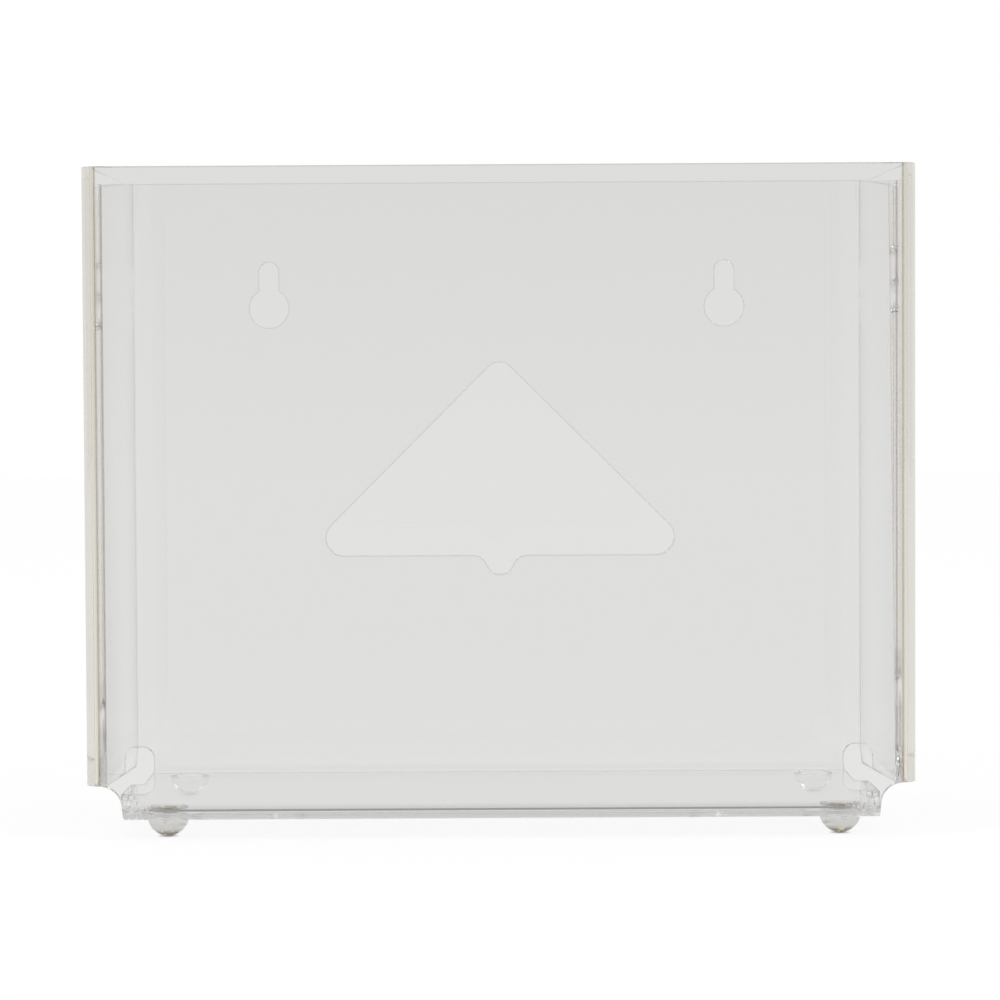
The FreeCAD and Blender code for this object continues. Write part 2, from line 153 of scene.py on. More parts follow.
class SheetCuts(bpy.types.PropertyGroup):
    """Sizes of the cut-outs in the blank."""

    notch_margin: length(
        "Notch margin", "From the box's side to a bend notch's upright edge", 0.011)
    notch_height: length("Notch height", "Height of the bend notches above the floor", 0.011)
    notch_radius: length("Notch radius", "Inner corner of the front bend notches", 0.007)
    rear_radius: length("Rear notch radius", "Inner corner of the rear bend notches", 0.004)
    wing_front: length("Wing front", "From the middle of the floor to its wings' front ends", 0.009)
    wing_rear: length("Wing rear", "From the middle of the floor to its wings' rear ends", 0.015)
    wing_gap: length("Wing gap", "Gap between a wing and the inside flap", 0.0001)
    wing_root: length("Wing root", "Hollow corner where a notch ends at a wing", 0.0035)
    opening_base: length("Opening base", "Height of the hand opening's lower edge", 0.0871)
    opening_half: length("Opening half width", "From the middle to a lower corner", 0.0606)
    opening_rise: length("Opening rise", "From the lower edge to the sharp apex", 0.0606)
    opening_corner: length("Opening corner", "Radius of the lower corners", 0.0054)
    opening_apex: length("Opening apex", "Radius of the upper corner", 0.0046)
    thumb_depth: length("Thumb notch depth", "Depth below the lower edge", 0.0058)
    thumb_mouth: length("Thumb notch mouth", "Half width at the lower edge", 0.0056)
    thumb_foot: length("Thumb notch foot", "Half width at the bottom", 0.0024)
    keyhole_offset: length("Keyhole offset", "From the middle to a keyhole", 0.0762)
    keyhole_height: length("Keyhole height", "Height of the round part's centre", 0.1641)
    keyhole_radius: length("Keyhole radius", "Radius of the round part", 0.0065)
    slot_radius: length("Slot radius", "Half the width of the slot", 0.0032)
    slot_top: length("Slot top", "From the round part's centre to the slot's top", 0.0154)


class FootSize(bpy.types.PropertyGroup):
    """Sizes of the dome feet."""

    radius: length("Radius", "Radius of a foot at the floor", (FOOT_HIGH[0] - FOOT_LOW[0]) / 2)
    height: length("Height", "Height of a foot", FOOT_HIGH[2] - FOOT_LOW[2])
    wall: length("Wall", "Height of the straight part", 0.0004)
    flat: length("Flat", "Radius of the small flat below", 0.0008)
    film: length(
        "Film", "How deep the sticky face sits in the sheet, so that light runs through", 0.00002)
    facets: bpy.props.IntProperty(
        name="Facets", description="Divisions round a foot", default=64, min=12, max=128)


class Finish(bpy.types.PropertyGroup):
    """Colours and gloss of the clear plastics."""

    sheet_tint: colour("Sheet tint", "Colour that the sheet passes", (0.965, 0.964, 0.957))
    cut_frost: share("Cut frost", "Roughness of the cut faces", 0.04)
    refraction: index_of_refraction("Refraction", "Index of refraction of acrylic", 1.491)
    # Painted light: the flaps and rear bends are painted a little lighter than the panels
    flap_light_paint: colour("Flap tint", "Colour that the flaps and rear bends pass", (0.98, 0.979, 0.973))
    # Painted shade: the front floor bend is painted grey
    floor_bend_shade: colour(
        "Floor bend tint", "Colour that the front floor bend passes", (0.84, 0.838, 0.832))
    # Painted light: a warm tint on the upright front bends stands in for the colour light gathers on
    # its long way through them
    bend_warm_paint: colour("Bend tint", "Colour that the upright front bends pass", (0.93, 0.89, 0.785))
    # Painted shade: the thin brown lines beside the upright front bends
    line_shade_tint: colour(
        "Line tint", "Colour of the thin lines beside the upright front bends", (0.55, 0.49, 0.42))
    # Painted shade: the softened edges are painted dark
    edge_shade: share("Edge line", "How dark the softened edges are", 0.5)
    # Painted shade: the front feet are painted darker than the rear ones
    front_foot_shade: colour("Foot tint", "Colour that the front feet pass", (0.8, 0.795, 0.78))
    rear_foot_tint: colour("Rear foot tint", "Colour that the rear feet pass", (0.99, 0.985, 0.975))
    # Painted shade on the feet's undersides
    foot_painted_shade: colour("Foot dark", "Dark parts of the feet's undersides", (0.1, 0.08, 0.06))
    # Painted glints on the feet's undersides
    foot_painted_glint: colour("Foot amber", "Amber parts of the feet's undersides", (0.85, 0.62, 0.3))
    glue_tint: colour("Glue tint", "Colour of the feet's sticky face", (0.99, 0.985, 0.975))
    foot_refraction: index_of_refraction(
        "Foot refraction", "Index of refraction of the feet", 1.42)


class StageLook(bpy.types.PropertyGroup):
    """Light, surroundings and camera."""

    seen_through: share("Seen through", "Brightness of the surroundings through the plastic", 0.785)
    floor_seen: share("Floor seen", "Brightness of the near floor through the plastic", 0.815)
    wall_behind: share(
        "Wall behind", "Brightness of the wall behind the camera in reflections", 0.7)
    backdrop_share: share("Backdrop share", "Part of the floor's white that needs no light", 0.92)
    bend_shade: share("Bend shade", "Depth of the line of shade under the front bend", 0.6)
    bend_line: length("Bend line", "From the middle to that line of shade", 0.048)
    contact: length("Contact", "Radius of the dark spot under each foot", 0.0036)
    camera_x: length("Camera side", "Camera's place across", -0.0081)
    camera_y: length("Camera distance", "Camera's place along the depth", -1.0117)
    camera_z: length("Camera height", "Camera's height", 0.1469)
    camera_roll: bpy.props.FloatProperty(
        name="Camera roll", description="How far the camera is turned about its view",
        default=math.radians(0.31), unit="ROTATION")
    camera_pitch: bpy.props.FloatProperty(
        name="Camera pitch", description="How far the camera looks up", default=math.radians(-2),
        unit="ROTATION")
    lens: bpy.props.FloatProperty(
        name="Lens", description="Focal length in millimetres", default=113.75, min=10)
    shift_x: bpy.props.FloatProperty(
        name="Lens shift across", description="Part of the frame's width", default=0.0274)
    shift_y: bpy.props.FloatProperty(
        name="Lens shift up", description="Part of the frame's width", default=-0.0308)
    lamp_size: length("Lamp size", "Side of each square lamp", 0.35)
    lamp_power: bpy.props.FloatProperty(
        name="Lamp power", description="Power of each lamp", default=6, min=0, unit="POWER")


class Value:
    """Number socket that adds Math nodes to its own tree when it is used in a sum."""

    def __init__(self, tree, socket):
        self.tree = tree
        self.socket = socket

    def math(self, operation, *others):
        """Result of a Math node whose first value is this one."""
        inputs = dict(enumerate((self, *others)))
        node = self.tree.add("ShaderNodeMath", {"operation": operation}, inputs)
        return Value(self.tree, node.outputs[0])

    def __add__(self, other):
        return self.math("ADD", other)

    def __radd__(self, other):
        return self.math("ADD", other)

    def __sub__(self, other):
        return self.math("SUBTRACT", other)

    def __rsub__(self, other):
        return self.tree.number(other).math("SUBTRACT", self)

    def __mul__(self, other):
        return self.math("MULTIPLY", other)

    def __rmul__(self, other):
        return self.math("MULTIPLY", other)

    def __truediv__(self, other):
        return self.math("DIVIDE", other)

    def __abs__(self):
        return self.math("ABSOLUTE")

    def above(self, limit):
        """1 where this is over the limit, else 0."""
        return self.math("GREATER_THAN", limit)

    def ramp(self, low, high):
        """0 at low, 1 at high, even between and level beyond."""
        inputs = {"Value": self, "From Min": low, "From Max": high}
        node = self.tree.add("ShaderNodeMapRange", {"clamp": True}, inputs)
        return Value(self.tree, node.outputs["Result"])

    def fade(self, low, high):
        """1 at low, 0 at high, even between and level beyond."""
        return 1 - self.ramp(low, high)


class Tree:
    """Node tree with one method that adds nodes."""

    def __init__(self, nodes, links):
        self.nodes = nodes
        self.links = links

    def add(self, kind, settings=None, inputs=None):
        """Node of a kind: its settings are set first, then its sockets' values or links."""
        node = self.nodes.new(kind)
        for name, value in (settings or {}).items():
            setattr(node, name, value)
        for key, value in (inputs or {}).items():
            if isinstance(value, Value):
                value = value.socket
            if isinstance(value, bpy.types.NodeSocket):
                self.links.new(value, node.inputs[key])
            else:
                node.inputs[key].default_value = value
        return node

    def number(self, value):
        """Value that holds a plain number, or the value itself."""
        if isinstance(value, Value):
            return value
        node = self.add("ShaderNodeValue")
        node.outputs[0].default_value = value
        return Value(self, node.outputs[0])

    def parts(self, vector):
        """The three numbers of a vector socket."""
        node = self.add("ShaderNodeSeparateXYZ", inputs={0: vector})
        return [Value(self, output) for output in node.outputs]


def shader_tree(owner):
    """Empty node tree of a material or a world."""
    owner.use_nodes = True
    owner.node_tree.nodes.clear()
    return Tree(owner.node_tree.nodes, owner.node_tree.links)


def new_mesh_object(name, mesh):
    """Object in the scene that shows a mesh."""
    piece = bpy.data.objects.new(name, mesh)
    bpy.context.scene.collection.objects.link(piece)
    return piece


def bend_length(radius, thickness):
    """Length of blank that a quarter bend takes, along the middle of the sheet."""
    return (radius - thickness / 2) * math.pi / 2


def blank_height(size, level):
    """Distance on the blank from the middle of the floor to a level on a panel."""
    bend_start = size.depth / 2 - size.floor_bend
    above_bend = level - size.floor_level - size.floor_bend
    return bend_start + bend_length(size.floor_bend, size.thickness) + above_bend


def side_bend_start(size, at_back):
    """Distance on the blank from the middle to a panel's upright bend."""
    lap = size.thickness + size.seam_gap
    return size.width / 2 - size.side_bend - (lap if at_back else 0)


def round_corners(corners):
    """Points of a closed outline given as (x, y, radius) corners."""
    points = []
    count = len(corners)
    for index, (x, y, radius) in enumerate(corners):
        here = Vector((x, y))
        before = Vector(corners[index - 1][:2]) - here
        after = Vector(corners[(index + 1) % count][:2]) - here
        before.normalize()
        after.normalize()
        turn = math.pi - before.angle(after)
        if radius == 0 or turn < STRAIGHT:
            points.append(here)
            continue
        reach = radius * math.tan(turn / 2)
        centre = here + (before + after).normalized() * (radius / math.cos(turn / 2))
        first = here + before * reach - centre
        last = here + after * reach - centre
        steps = max(2, math.ceil(turn / OUTLINE_STEP))
        sweep = first.angle_signed(last)
        for step in range(steps + 1):
            angle = -sweep * step / steps
            turned_x = first.x * math.cos(angle) - first.y * math.sin(angle)
            turned_y = first.x * math.sin(angle) + first.y * math.cos(angle)
            points.append(centre + Vector((turned_x, turned_y)))
    return points


def side_corners(size, cuts, slant):
    """Corners of the blank's right side, from the front panel's flap round to the back panel's."""
    bend = bend_length(size.side_bend, size.thickness)
    low = blank_height(size, size.floor_level + cuts.notch_height)
    top = blank_height(size, size.top)
    notch = size.width / 2 - cuts.notch_margin
    wing = size.width / 2 - 2 * size.thickness - size.seam_gap - cuts.wing_gap
    outside_end = side_bend_start(size, False) + bend + size.depth - size.side_bend
    inside_start = side_bend_start(size, True) + bend
    inside_end = inside_start + size.depth - 2 * size.side_bend - size.flap_clearance
    return [
        (outside_end, -top, size.corner),
        (outside_end, -low, size.corner),
        (notch, -low, cuts.notch_radius),
        (notch, -cuts.wing_front, cuts.wing_root),
        (wing, -cuts.wing_front, 0),
        (wing, cuts.wing_rear, 0),
        (notch, cuts.wing_rear, cuts.wing_root),
        (notch, low, cuts.rear_radius),
        (inside_start, low, 0),
        (inside_start + size.heel_reach, low - size.heel_drop, size.heel_radius),
        (inside_end, low - size.foot_fall, size.corner),
        (inside_end - slant, top - size.flap_fall, size.corner),
        (inside_start, top, 0),
    ]


def blank_outline(size, cuts):
    """Outer outline of the blank, anticlockwise, with the front panel at negative y."""
    right = side_corners(size, cuts, size.right_slant)
    left = side_corners(size, cuts, size.left_slant)
    mirrored = [(-x, y, radius) for x, y, radius in reversed(left)]
    return round_corners(right + mirrored)


def opening_outline(size, cuts):
    """Three-cornered hand opening with its thumb notch, clockwise on the blank."""
    base = cuts.opening_base
    foot = base - cuts.thumb_depth
    half = [
        (cuts.thumb_foot, foot, THUMB_FOOT_ROUND),
        (cuts.thumb_mouth, base, THUMB_MOUTH_ROUND),
        (cuts.opening_half, base, cuts.opening_corner),
    ]
    mirrored = [(-x, level, radius) for x, level, radius in reversed(half)]
    corners = half + [(0, base + cuts.opening_rise, cuts.opening_apex)] + mirrored
    return round_corners([(x, -blank_height(size, level), radius) for x, level, radius in corners])


def keyhole_outline(size, cuts, middle):
    """Keyhole with its slot above the round part, clockwise on the blank."""
    centre = Vector((middle, blank_height(size, cuts.keyhole_height)))
    slot_centre = centre + Vector((0, cuts.slot_top - cuts.slot_radius))
    lean = math.acos(cuts.slot_radius / cuts.keyhole_radius)
    points = []
    for place, radius, first, last in (
        (centre, cuts.keyhole_radius, lean, -math.pi - lean),
        (slot_centre, cuts.slot_radius, math.pi, 0),
    ):
        steps = math.ceil(abs(last - first) / OUTLINE_STEP)
        for step in range(steps + 1):
            angle = first + (last - first) * step / steps
            points.append(place + Vector((math.cos(angle), math.sin(angle))) * radius)
    return points


def corner_normals(before, here, after):
    """Sum of the normals left of a corner's two edges, and its divisor for an even offset."""
    coming = (here - before).normalized()
    going = (after - here).normalized()
    normals = (coming.orthogonal(), going.orthogonal())
    return sum(normals, Vector((0, 0))), 1 + normals[0].dot(normals[1])


def offset_points(points, distance):
    """Outline moved to its left by a distance, with its corners kept."""
    moved = []
    for index, here in enumerate(points):
        normals, divisor = corner_normals(points[index - 1], here, points[(index + 1) % len(points)])
        moved.append(here + normals * (distance / divisor))
    return moved


def ruled_lines(size, cuts):
    """Lines across the blank that divide its bends."""
    lines = []
    top = blank_height(size, size.top) + RULE_OVERRUN
    notch = size.width / 2 - cuts.notch_margin + RULE_OVERRUN
    steps = [step / size.bend_steps for step in range(size.bend_steps + 1)]
    side_bend = bend_length(size.side_bend, size.thickness)
    for at_back in (False, True):
        end = top if at_back else -top
        for step in steps:
            across = side_bend_start(size, at_back) + side_bend * step
            for side in (-1, 1):
                lines.append((Vector((side * across, 0)), Vector((side * across, end))))
    floor_bend = bend_length(size.floor_bend, size.thickness)
    for step in steps:
        along = size.depth / 2 - size.floor_bend + floor_bend * step
        for end in (-1, 1):
            lines.append((Vector((-notch, end * along)), Vector((notch, end * along))))
    return lines


def is_inside(point, outlines):
    """True where a point is inside an odd number of outlines."""
    inside = False
    for outline in outlines:
        for index, there in enumerate(outline):
            here = outline[index - 1]
            if (here.y > point.y) != (there.y > point.y):
                share_up = (point.y - here.y) / (there.y - here.y)
                if point.x < here.x + share_up * (there.x - here.x):
                    inside = not inside
    return inside


def fill_blank(outlines, lines):
    """Points and triangles that fill the outlines and are divided along the ruled lines."""
    points = []
    edges = []
    for outline in outlines:
        first = len(points)
        count = len(outline)
        points += outline
        edges += [(first + index, first + (index + 1) % count) for index in range(count)]
    for start, end in lines:
        edges.append((len(points), len(points) + 1))
        points += [start, end]
    filled = delaunay_2d_cdt(points, edges, [], 0, SAME_POINT)
    corners = filled[0]
    kept = []
    for triangle in filled[2]:
        middle = sum((corners[corner] for corner in triangle), Vector((0, 0))) / 3
        if is_inside(middle, outlines):
            kept.append(tuple(triangle))
    used = sorted({corner for triangle in kept for corner in triangle})
    place = {corner: number for number, corner in enumerate(used)}
    triangles = [tuple(place[corner] for corner in triangle) for triangle in kept]
    return [corners[corner] for corner in used], triangles


def rim_of(triangles):
    """Next point round the rim for each rim point, with the filled side on the left."""
    sides = {
        (a, b) for triangle in triangles for a, b in zip(triangle, triangle[1:] + triangle[:1])}
    return {a: b for a, b in sides if (b, a) not in sides}


def edge_section(size):
    """Section of the cut edge with its two soft corners: (outward, up) from the outer face."""
    quarter = [math.pi / 2 * step / EDGE_STEPS for step in range(1, EDGE_STEPS + 1)]
    unit = [(math.sin(angle), 1 - math.cos(angle)) for angle in quarter]
    lower = [(out * size.edge, up * size.edge) for out, up in unit]
    return lower + [(out, size.thickness - up) for out, up in reversed(lower)]


def make_blank(size, cuts):
    """Flat sheet with softened edges: outer face at z 0, inner face at the sheet's thickness."""
    outlines = [
        blank_outline(size, cuts),
        opening_outline(size, cuts),
        keyhole_outline(size, cuts, -cuts.keyhole_offset),
        keyhole_outline(size, cuts, cuts.keyhole_offset),
    ]
    inner_outlines = [offset_points(outline, size.edge) for outline in outlines]
    points, triangles = fill_blank(inner_outlines, ruled_lines(size, cuts))
    following = rim_of(triangles)
    leading = {b: a for a, b in following.items()}
    rim = list(following)
    outward = {}
    for here in rim:
        normals, divisor = corner_normals(points[leading[here]], points[here], points[following[here]])
        outward[here] = -normals / divisor
    count = len(points)
    vertices = [(*point, 0) for point in points]
    vertices += [(*point, size.thickness) for point in points]
    faces = [tuple(reversed(triangle)) for triangle in triangles]
    faces += [tuple(corner + count for corner in triangle) for triangle in triangles]
    levels = [{here: here for here in rim}]
    for out, up in edge_section(size):
        levels.append({here: len(vertices) + number for number, here in enumerate(rim)})
        vertices += [(*(points[here] + outward[here] * out), up) for here in rim]
    levels.append({here: here + count for here in rim})
    marks = [0] * len(faces)
    for step, (lower, upper) in enumerate(zip(levels, levels[1:])):
        marks += [1 if step == EDGE_STEPS else 0.5] * len(rim)
        faces += [(lower[a], lower[b], upper[b], upper[a]) for a, b in following.items()]
    mesh = bpy.data.meshes.new("sheet_blank")
    mesh.from_pydata(vertices, [], faces)
    mesh.shade_smooth()
    cut = mesh.attributes.new(CUT_FACE, "FLOAT", "FACE")
    cut.data.foreach_set("value", marks)
    return mesh


def new_geometry_tree(name, inputs):
    """Geometry tree with named inputs, given as (name, socket type): tree, group, input values."""
    group = bpy.data.node_groups.new(name, "GeometryNodeTree")
    group.interface.new_socket("Geometry", in_out="OUTPUT", socket_type="NodeSocketGeometry")
    group.interface.new_socket("Geometry", in_out="INPUT", socket_type="NodeSocketGeometry")
    for label, kind in inputs:
        group.interface.new_socket(label, in_out="INPUT", socket_type=kind)
    tree = Tree(group.nodes, group.links)
    source = tree.add("NodeGroupInput")
    return tree, group, source.outputs


def add_tree_modifier(piece, group, values):
    """Geometry Nodes modifier whose inputs are set by identifier before it is first evaluated."""
    modifier = piece.modifiers.new(group.name, "NODES")
    modifier.node_group = group
    for item in group.interface.items_tree:
        if item.in_out == "INPUT" and item.name in values:
            modifier[item.identifier] = values[item.name]


def make_plain(piece):
    """Turn an object's modifiers into a plain mesh and remove them."""
    graph = bpy.context.evaluated_depsgraph_get()
    finished = bpy.data.meshes.new_from_object(piece.evaluated_get(graph), depsgraph=graph)
    draft = piece.data
    piece.modifiers.clear()
    piece.data = finished
    bpy.data.meshes.remove(draft)
    finished.name = piece.name


def bend_map(tree, distance, offset, start, radius, thickness):
    """Where a quarter bend takes a point of the blank: along the sheet's plane, and across it."""
    bend = (radius - thickness * 0.5) * (math.pi / 2)
    past = distance - start
    angle = (past / bend).ramp(0, 1) * (math.pi / 2)
    reach = radius - offset
    along = distance.math("MINIMUM", start) + reach * angle.math("SINE")
    beyond = (past - bend).math("MAXIMUM", 0.0)
    across = radius - reach * angle.math("COSINE") + beyond
    return along, across


def make_fold_tree():
    """Geometry tree that folds the blank: flaps round their bends, then panels up from the floor."""
    tree, group, given = new_geometry_tree("fold_sheet", [
        ("Width", "NodeSocketFloat"),
        ("Depth", "NodeSocketFloat"),
        ("Floor Level", "NodeSocketFloat"),
        ("Thickness", "NodeSocketFloat"),
        ("Seam Gap", "NodeSocketFloat"),
        ("Side Bend", "NodeSocketFloat"),
        ("Floor Bend", "NodeSocketFloat"),
        ("Material", "NodeSocketMaterial"),
    ])
    value = {socket.name: Value(tree, socket) for socket in given if socket.type == "VALUE"}
    x, y, z = tree.parts(tree.add("GeometryNodeInputPosition").outputs[0])
    thickness = value["Thickness"]
    lap = (thickness + value["Seam Gap"]) * y.above(0.0)
    side_start = value["Width"] * 0.5 - value["Side Bend"] - lap
    across, flap = bend_map(tree, abs(x), z, side_start, value["Side Bend"], thickness)
    floor_start = value["Depth"] * 0.5 - value["Floor Bend"]
    along, up = bend_map(tree, abs(y), flap, floor_start, value["Floor Bend"], thickness)
    place = tree.add("ShaderNodeCombineXYZ", inputs={
        0: across * x.math("SIGN"),
        1: along * y.math("SIGN"),
        2: up + value["Floor Level"],
    })
    folded = tree.add("GeometryNodeSetPosition", inputs={
        "Geometry": given["Geometry"],
        "Position": place.outputs[0],
    })
    real = tree.add("GeometryNodeRealizeInstances", inputs={0: folded.outputs[0]})
    painted = tree.add("GeometryNodeSetMaterial", inputs={
        "Geometry": real.outputs[0],
        "Material": given["Material"],
    })
    tree.add("NodeGroupOutput", inputs={0: painted.outputs[0]})
    return group


def make_feet_tree():
    """Geometry tree that sets a dome under each point of a mesh."""
    tree, group, given = new_geometry_tree("set_feet", [
        ("Dome", "NodeSocketObject"),
        ("Plastic", "NodeSocketMaterial"),
        ("Glue", "NodeSocketMaterial"),
    ])
    dome = tree.add("GeometryNodeObjectInfo", inputs={"Object": given["Dome"]})
    placed = tree.add("GeometryNodeInstanceOnPoints", inputs={
        "Points": given["Geometry"],
        "Instance": dome.outputs["Geometry"],
    })
    real = tree.add("GeometryNodeRealizeInstances", inputs={0: placed.outputs[0]})
    plastic = tree.add("GeometryNodeSetMaterial", inputs={
        "Geometry": real.outputs[0],
        "Material": given["Plastic"],
    })
    facing = tree.parts(tree.add("GeometryNodeInputNormal").outputs[0])[2]
    glued = tree.add("GeometryNodeSetMaterial", inputs={
        "Geometry": plastic.outputs[0],
        "Selection": facing.above(0.9),
        "Material": given["Glue"],
    })
    tree.add("NodeGroupOutput", inputs={0: glued.outputs[0]})
    return group


def foot_place(node):
    """Middle of a foot in plan."""
    low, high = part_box(node)
    return (low[0] + high[0]) / 2, (low[1] + high[1]) / 2


def make_dome(size):
    """Object of one dome, hanging from the origin, turned from its half section."""
    lowest = -size.film - size.height
    ball_rise = size.height - size.wall
    ball_middle = (size.radius ** 2 + ball_rise ** 2 - size.flat ** 2) / (2 * ball_rise)
    ball_radius = math.hypot(size.flat, ball_middle)
    first = math.asin(size.radius / ball_radius)
    last = math.asin(size.flat / ball_radius)
    section = [(0, 0), (size.radius / 2, 0), (size.radius - DOME_RIM, 0), (size.radius, -DOME_RIM)]
    for step in range(DOME_STEPS + 1):
        angle = first + (last - first) * step / DOME_STEPS
        level = lowest + ball_middle - ball_radius * math.cos(angle)
        section.append((ball_radius * math.sin(angle), level))
    section.append((0, lowest))
    work = bmesh.new()
    points = [work.verts.new((x, 0, z)) for x, z in section]
    edges = [work.edges.new(pair) for pair in zip(points, points[1:])]
    bmesh.ops.spin(
        work, geom=points + edges, cent=(0, 0, 0), axis=(0, 0, 1),
        angle=2 * math.pi, steps=size.facets, use_merge=True)
    bmesh.ops.remove_doubles(work, verts=work.verts, dist=1e-6)
    bmesh.ops.recalc_face_normals(work, faces=work.faces)
    mesh = bpy.data.meshes.new("dome")
    work.to_mesh(mesh)
    work.free()
    mesh.shade_smooth()
    return new_mesh_object("dome", mesh)


def start_material(name):
    """New material with an empty tree, and its Object coordinates."""
    material = bpy.data.materials.new(name)
    tree = shader_tree(material)
    return material, tree, tree.add("ShaderNodeTexCoord").outputs["Object"]


def mix_colours(tree, factor, first, second):
    """Colour between two others, each of which is a plain colour or a socket."""
    inputs = {"Factor": factor}
    for key, side in ((6, first), (7, second)):
        inputs[key] = side if isinstance(side, bpy.types.NodeSocket) else (*side, 1)
    return tree.add("ShaderNodeMix", {"data_type": "RGBA"}, inputs).outputs[2]


def noise(tree, place, scale, detail):
    """Noise from 0 to 1, with its scale per metre."""
    inputs = {"Vector": place, "Scale": scale, "Detail": detail}
    return Value(tree, tree.add("ShaderNodeTexNoise", inputs=inputs).outputs["Fac"])


def finish_clear(tree, tint, index, roughness, height):
    """Shader and output of a clear plastic whose skin stands up by a height in metres."""
    bump = tree.add("ShaderNodeBump", inputs={"Strength": 1.0, "Distance": 1.0, "Height": height})
    shader = tree.add("ShaderNodeBsdfPrincipled", inputs={
        "Base Color": tint,
        "Roughness": roughness,
        "IOR": index,
        "Transmission Weight": 1.0,
        "Normal": bump.outputs[0],
    })
    tree.add("ShaderNodeOutputMaterial", inputs={"Surface": shader.outputs[0]})


def make_acrylic(finish, size):
    """Cast acrylic: frosted cuts, ribbed ends of the front floor bend, and painted light and shade in
    its tinted bends, thin lines and dark edges.
    """
    material, tree, place = start_material("clear_acrylic")
    x, y, z = tree.parts(place)
    side = size.width / 2 - abs(x)
    behind_front = y + size.depth / 2
    # The saw leaves the cut faces finely frosted, and their softened edges are painted dark: painted
    # shade
    mark = Value(tree, tree.add("ShaderNodeAttribute", {"attribute_name": CUT_FACE}).outputs["Fac"])
    cut = mark.above(0.75)
    edge = mark.above(0.25) - cut
    # The ends of the front floor bend are ribbed where the heater pinched them
    pinch = side.fade(*RIBS_FROM_SIDE) * behind_front.fade(*RIBS_FROM_FRONT) * z.fade(*RIBS_UP)
    ribs = (x * 5200 + z * 1300).math("SINE") + (x * 3100 - z * 900 + y * 700).math("SINE")
    height = ribs * pinch * (1 - cut - edge) * RIB_HEIGHT
    # The flaps and rear bends are painted a little lighter than the panels: painted light
    front = behind_front.fade(*FRONT_PAINT)
    lap = 2 * size.thickness + size.seam_gap
    inner_reach = lap + size.side_bend
    inner = side.fade(inner_reach, inner_reach + 0.002) * (1 - front)
    tint = mix_colours(tree, inner, finish.sheet_tint, finish.flap_light_paint)
    # The front floor bend is painted grey: painted shade
    turn = size.floor_level + size.floor_bend
    floor_bend_shade_mask = z.fade(turn - 0.001, turn) * behind_front.fade(*FLOOR_BEND_SHADE)
    tint = mix_colours(tree, floor_bend_shade_mask, tint, finish.floor_bend_shade)
    # The upright front bends are painted a warm tint: painted light for the colour light gathers on
    # its long way through the bends
    bend = front * side.fade(size.side_bend - 0.0006, size.side_bend - 0.0001)
    tint = mix_colours(tree, bend, tint, finish.bend_warm_paint)
    # Thin brown lines of painted shade run up where these bends end, and at the front ends of the
    # inside flaps seen through the front panel
    rim = abs(side - size.side_bend + 0.0003).fade(*PAINTED_LINE)
    flap_end_shade = abs(side - lap).fade(*PAINTED_LINE) * z.above(size.floor_level + FLAP_LINE_FOOT)
    flap_end_shade = flap_end_shade * (1 - z.above(size.top - size.flap_fall))
    line = (rim.math("MAXIMUM", flap_end_shade) * front).math("MAXIMUM", edge * finish.edge_shade)
    tint = mix_colours(tree, line, tint, finish.line_shade_tint)
    finish_clear(tree, tint, finish.refraction, cut * finish.cut_frost, height)
    return material


def make_foot_plastic(finish):
    """Soft clear plastic of the feet: a slightly uneven skin, painted shade on the front feet, and
    painted shade and amber glints on their undersides.
    """
    material, tree, place = start_material("clear_bumper")
    grain = noise(tree, place, 400.0, 2.0)
    y, z = tree.parts(place)[1:]
    at_rear = y.above(0.0)
    # Painted amber glints and painted shade on the front feet's undersides
    amber = noise(tree, place, 520.0, 1.0).ramp(0.53, 0.6)
    under = mix_colours(tree, amber, finish.foot_painted_shade, finish.foot_painted_glint)
    # The front feet are painted darker than the rear ones: painted shade
    clear = mix_colours(tree, at_rear, finish.front_foot_shade, finish.rear_foot_tint)
    tint = mix_colours(tree, z.fade(*FOOT_PAINT_RISE) * (1 - at_rear), clear, under)
    finish_clear(tree, tint, finish.foot_refraction, grain * 0.03, grain * 0.00002)
    return material


def make_foot_glue(finish):
    """Sticky face of the feet: clear, a little yellow and finely mottled."""
    material, tree, place = start_material("bumper_glue")
    grain = noise(tree, place, 900.0, 3.0)
    finish_clear(tree, (*finish.glue_tint, 1), finish.foot_refraction, grain * 0.1, grain * 0.00006)
    return material


class DISPENSER_OT_folded_sheet(bpy.types.Operator):
    """Fold the clear sheet from its blank"""

    bl_idname = "dispenser.folded_sheet"
    bl_label = "Folded sheet"

    def execute(self, context):
        scene = context.scene
        size = scene.sheet_size
        piece = new_mesh_object("folded_sheet", make_blank(size, scene.sheet_cuts))
        add_tree_modifier(piece, make_fold_tree(), {
            "Width": size.width,
            "Depth": size.depth,
            "Floor Level": size.floor_level,
            "Thickness": size.thickness,
            "Seam Gap": size.seam_gap,
            "Side Bend": size.side_bend,
            "Floor Bend": size.floor_bend,
            "Material": make_acrylic(scene.finish, size),
        })
        even = piece.modifiers.new("even_shading", "WEIGHTED_NORMAL")
        even.mode = "FACE_AREA"
        even.weight = 50
        make_plain(piece)
        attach(piece, "root")
        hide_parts("dispenser_body")
        return {"FINISHED"}


